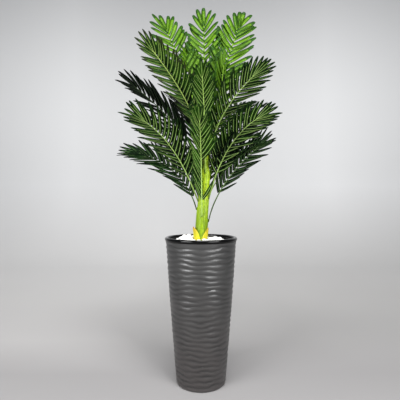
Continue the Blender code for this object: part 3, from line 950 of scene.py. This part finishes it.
def grow_rib(frond, points, faces, edges):
    """A round-backed rib, palest at its stalk, with a shallow channel along its upper side."""
    rib_length = frond.length - END_LEAFLET
    first = len(points)
    for row in range(RIB_SECTIONS + 1):
        along = rib_length * row / RIB_SECTIONS
        place, _, side, upper = rib_frame(frond, along)
        width, thickness = rib_size(frond, along)
        for k in range(RIB_SIDES):
            turn = math.tau * k / RIB_SIDES
            lift = math.sin(turn) * thickness / 2
            if k == RIB_SIDES // 4:
                lift *= 0.55
            points.append(place + side * (math.cos(turn) * width / 2) + upper * lift)
            edges.append(min(1.0, along / (frond.stalk * frond.length)) ** 2)
    for row in range(RIB_SECTIONS):
        for k in range(RIB_SIDES):
            a = first + row * RIB_SIDES + k
            b = first + row * RIB_SIDES + (k + 1) % RIB_SIDES
            faces.append((a, b, b + RIB_SIDES, a + RIB_SIDES))
    faces.append(tuple(first + k for k in reversed(range(RIB_SIDES))))
    last = first + RIB_SECTIONS * RIB_SIDES
    faces.append(tuple(last + k for k in range(RIB_SIDES)))


def leaflet_length(frond, share):
    if share < LEAFLET_LONGEST_AT:
        return frond.leaf * mix(LEAFLET_BASE_SHARE, 1.0, share / LEAFLET_LONGEST_AT)
    rest = (share - LEAFLET_LONGEST_AT) / (1 - LEAFLET_LONGEST_AT)
    return frond.leaf * mix(1.0, LEAFLET_TIP_SHARE, rest)


def leaflet_angle(frond, along_rib):
    """Angle from the rib: steady along the blade, closing up over the last stretch."""
    left = frond.length - END_LEAFLET - along_rib + FAN_START
    return frond.spread * (1 - math.exp(-left / FAN_REACH))


def blade_width(share, tone):
    """Share of a leaflet's full width, from its foot to its point."""
    swell = mix(tone.foot, 1.0, min(1.0, share / 0.50) ** 0.7)
    return swell * math.sqrt(max(0.0, 1 - share ** tone.point))


def grow_leaflet(start, along, across, top, curl, length, tone, shade, made):
    """A creased strap that curls by this much at its tip, with a raised pale vein whose paleness is
    partly a painted highlight along the ridge.
    """
    points, faces, kinds, edges = made
    width = tone.width
    first = len(points)
    for share in LEAFLET_STATIONS:
        middle = start + along * (length * share) + curl * (length * share * share)
        half = width / 2 * blade_width(share, tone)
        rise = top * (half * FOLD_RISE)
        vein = across * (width / 2 * tone.vein_share * (1 - 0.5 * share))
        vein_top = middle + top * VEIN_HEIGHT
        vein_under = middle - top * VEIN_DEPTH
        points.extend((
            middle - across * half + rise,
            vein_top - vein,
            vein_top + vein,
            middle + across * half + rise,
            vein_under + vein,
            vein_under - vein,
        ))
        # Painted shade at the edges, on one half of the fold and at the foot, plus this leaflet's
        # random tone.
        foot_shade = max(0.0, FOOT_SHADE - FOOT_SHADE_FADE * share)
        edges.extend(shade + foot_shade + edge for edge in tone.edges)
    tip = len(points)
    points.append(start + along * length + curl * length)
    edges.append(1.0)
    for row in range(len(LEAFLET_STATIONS) - 1):
        for k in range(6):
            a = first + row * 6 + k
            b = first + row * 6 + (k + 1) % 6
            faces.append((a, b, b + 6, a + 6))
            kinds.append(2 if row >= TIP_ROW else 1 if k in (1, 4) else 0)
    last = tip - 6
    for k in range(6):
        faces.append((last + k, last + (k + 1) % 6, tip))
        kinds.append(2)
    faces.append(tuple(first + k for k in reversed(range(6))))
    kinds.append(0)


def meets_trunk(start, direction, length):
    """True where a leaflet would run into the trunk."""
    for share in (0.2, 0.4, 0.6, 0.8, 1.0):
        point = start + direction * (length * share)
        if point.z < TRUNK_TOP and (point.xy - trunk_axis(point.z).xy).length < (
                trunk_radius(point.z) + LEAFLET_CLEARANCE):
            return True
    return False


def hides_spear(frond, side_sign, share):
    """The lowest front frond is bare on the side where the spear shows past it."""
    low, high = SPEAR_BARE
    return frond.name == "frond_front_low" and side_sign == 1 and low < share < high


def grow_leaflets(frond, made, rng):
    stalk = frond.stalk * frond.length
    rib_length = frond.length - END_LEAFLET
    tone = TONES[frond.tone]
    pairs = round((rib_length - stalk) / tone.pitch)
    for pair in range(pairs):
        for side_sign in (-1, 1):
            share = (pair + 0.5 + LEAFLET_STAGGER * side_sign) / pairs
            along_rib = mix(stalk, rib_length, 1 - (1 - share) ** tone.crowding)
            place, forward, side, upper = rib_frame(frond, along_rib)
            shake = rng.uniform(-LEAFLET_SHAKE, LEAFLET_SHAKE)
            angle = math.radians(leaflet_angle(frond, along_rib) + shake)
            fold = math.radians(mix(*LEAFLET_FOLD, share) + rng.uniform(
                -LEAFLET_FOLD_SHAKE, LEAFLET_FOLD_SHAKE))
            length = leaflet_length(frond, share) * rng.uniform(*LEAFLET_LENGTHS)
            droop = rng.uniform(*LEAFLET_DROOP)
            outward = side * side_sign * math.cos(fold) + upper * math.sin(fold)
            top = upper * math.cos(fold) - side * side_sign * math.sin(fold)
            along = forward * math.cos(angle) + outward * math.sin(angle)
            across = (forward * math.sin(angle) - outward * math.cos(angle)) * -side_sign
            twist = Matrix.Rotation(math.radians(rng.uniform(-LEAFLET_ROLL, LEAFLET_ROLL)), 3, along)
            across, top = twist @ across, twist @ top
            start = place + outward * (rib_size(frond, along_rib)[0] * LEAFLET_SET_OUT)
            if meets_trunk(start, along, length) or hides_spear(frond, side_sign, share):
                continue
            arch = forward * rng.uniform(*LEAFLET_ARCH)
            along -= arch
            curl = arch + forward * LEAFLET_SWEEP - top * droop
            curl -= Vector((0.0, 0.0, rng.uniform(*LEAFLET_SAG)))
            shade = rng.uniform(*LEAFLET_SHADES)
            grow_leaflet(start, along, across, top, curl, length, tone, shade, made)
    grow_tip(frond, rib_length, made)


def grow_tip(frond, rib_length, made):
    """The rib ends in one straight leaflet."""
    place, forward, side, upper = rib_frame(frond, rib_length)
    grow_leaflet(place - forward * END_OVERLAP, forward, -side, upper, Vector(), END_LEAFLET,
                 TONES[frond.tone], 0.0, made)


def add_fronds():
    rng = random.Random(SEED)
    for name, tone in TONES.items():
        def finish(part, pale, dark):
            return make_leaf_finish(part + "_" + name, pale, dark, tone.roughness, tone.specular)

        finishes = [
            finish("leaf", tone.pale, tone.dark),
            # The vein's pale colour is partly a painted highlight along each leaflet's ridge.
            finish("vein", tone.vein, [0.75 * c for c in tone.vein]),
            finish("tip", tone.tip, [0.7 * c for c in tone.tip]),
        ]
        leaflets = ([], [], [], [])
        rib_points, rib_faces, rib_edges = [], [], []
        group = [frond for frond in FRONDS if frond.tone == name]
        for frond in group:
            grow_rib(frond, rib_points, rib_faces, rib_edges)
            grow_leaflets(frond, leaflets, rng)
        piece = joined_piece("leaflets_" + name, leaflets[0], leaflets[1], finishes, leaflets[2])
        mark_points(piece, "edge", leaflets[3])
        settle(piece, tone.slot, *[frond.name for frond in group])
        ribs = joined_piece(
            "ribs_" + name, rib_points, rib_faces, [finish("stalk", tone.stalk, tone.vein)])
        mark_points(ribs, "edge", rib_edges)
        settle(ribs, tone.slot)


# Stage, light and camera

def add_stage():
    """A pale floor that sweeps up behind the plant into a backdrop, painted with light falloff: the
    floor darker towards the front and on the right, the backdrop darker in its middle.
    """
    deselect_all()
    bpy.ops.mesh.primitive_plane_add(size=1, location=(0, 0, 0))
    sweep = name_piece("studio_sweep")
    depth_back, depth_front, half_width, rise, bend = 2.6, 4.0, 7.0, 6.0, 1.4
    for vertex in sweep.data.vertices:
        vertex.co.x = math.copysign(half_width, vertex.co.x)
        vertex.co.y = depth_back if vertex.co.y > 0 else -depth_front
    edit(sweep, "EDGE", lambda edge: all(v.co.y > 0 for v in edge.verts))
    steps = 24
    for step in range(1, steps + 1):
        before = math.radians(90 * (step - 1) / steps)
        after = math.radians(90 * step / steps)
        shift = Vector((0, bend * (math.sin(after) - math.sin(before)),
                        bend * (math.cos(before) - math.cos(after))))
        bpy.ops.mesh.extrude_region_move(TRANSFORM_OT_translate={"value": shift})
    bpy.ops.mesh.extrude_region_move(TRANSFORM_OT_translate={"value": (0, 0, rise)})
    leave_edit()
    smooth(sweep)
    finish = Finish("studio_paper", 0.9)
    cloud = finish.noise(0.8, 2.0)
    place = finish.add("ShaderNodeSeparateXYZ", {}, {0: finish.place})
    depth = Value(finish, place.outputs["Y"])
    height = Value(finish, place.outputs["Z"])
    # Painted light falloff: the floor darkens towards the front and is dimmer on the right than on
    # the left.
    floor_painted_falloff = (depth + 0.1 * cloud).clamp(0.1, 2.7)
    left = finish.add("ShaderNodeValToRGB", {"stops": (
        (0.00, (0.235, 0.228, 0.228)),
        (0.15, (0.36, 0.350, 0.347)),
        (0.45, (0.46, 0.453, 0.446)),
        (1.00, (0.58, 0.575, 0.57)),
    )}, {0: floor_painted_falloff}).outputs[0]
    right = finish.add("ShaderNodeValToRGB", {"stops": (
        (0.00, (0.235, 0.228, 0.228)),
        (0.15, (0.295, 0.288, 0.285)),
        (0.45, (0.375, 0.368, 0.362)),
        (1.00, (0.475, 0.47, 0.465)),
    )}, {0: floor_painted_falloff}).outputs[0]
    across = Value(finish, place.outputs["X"]).clamp(-0.6, 0.6)
    near = finish.blend(across, left, right)
    climb = (height + 0.1 * cloud).clamp(0.0, 1.1)
    sideways = Value(finish, place.outputs["X"])
    # Painted light falloff: the backdrop is darker in its middle than at its sides.
    backdrop_painted_falloff = (sideways * sideways).clamp(0.0, 4.0)
    wall = finish.blend(backdrop_painted_falloff, rgb(0.555, 0.56, 0.565), rgb(0.69, 0.695, 0.70))
    finish.colour(finish.blend(climb, near, wall))
    sweep.data.materials.append(finish.material)


def add_softbox(name, place, target, size, power):
    """A rectangular soft light that faces its target."""
    data = bpy.data.lights.new(name, "AREA")
    data.shape = "RECTANGLE"
    data.size, data.size_y = size
    data.energy = power
    light = bpy.data.objects.new(name, data)
    light.location = place
    light.rotation_euler = (Vector(target) - light.location).to_track_quat("-Z", "Y").to_euler()
    bpy.context.collection.objects.link(light)


def light_studio():
    add_softbox("softbox_left", (-1.40, -1.35, 1.25), (0, 0, 0.8), (1.10, 1.1), 58)
    add_softbox("softbox_right", (1.20, -1.50, 1.25), (0, 0, 0.8), (1.10, 1.1), 54)
    add_softbox("softbox_top", (0.1, -1.3, 2.8), (0, 0, 1.1), (1.2, 1.2), 58)
    add_softbox("backdrop_left", (-2.2, 0.9, 2.8), (-2.2, 3.6, 1.5), (4.0, 0.6), 60)
    add_softbox("backdrop_right", (2.3, 0.9, 2.8), (2.3, 3.6, 1.5), (4.0, 0.6), 66)
    world = bpy.data.worlds.new("studio")
    bpy.context.scene.world = world
    world.use_nodes = True
    background = world.node_tree.nodes["Background"]
    background.inputs["Color"].default_value = (0.93, 0.95, 1.0, 1.0)
    background.inputs["Strength"].default_value = 0.20
    bpy.context.scene.view_settings.view_transform = "Standard"


def add_camera():
    """The photograph's own viewpoint: chest height, a short way off, pitched just above level."""
    data = bpy.data.cameras.new("camera")
    data.sensor_width = 36.0
    data.lens = 31.05
    camera = bpy.data.objects.new("camera", data)
    camera.location = (-0.0043, -1.474, 0.745)
    camera.rotation_euler = (math.radians(90.75), 0, 0)
    bpy.context.collection.objects.link(camera)
    bpy.context.scene.camera = camera


black_gloss = make_lip_finish()
add_planter_wall(black_gloss)
add_planter_lip(black_gloss)
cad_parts["filling"].data.materials.clear()
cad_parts["filling"].data.materials.append(make_foam_finish())
add_grit_bed()
add_pebbles()
add_leaf_boots(add_trunk())
husk_finish = make_husk_finish()
for bract in BRACTS:
    add_bract(bract, husk_finish)
add_fronds()
add_stage()
light_studio()
add_camera()
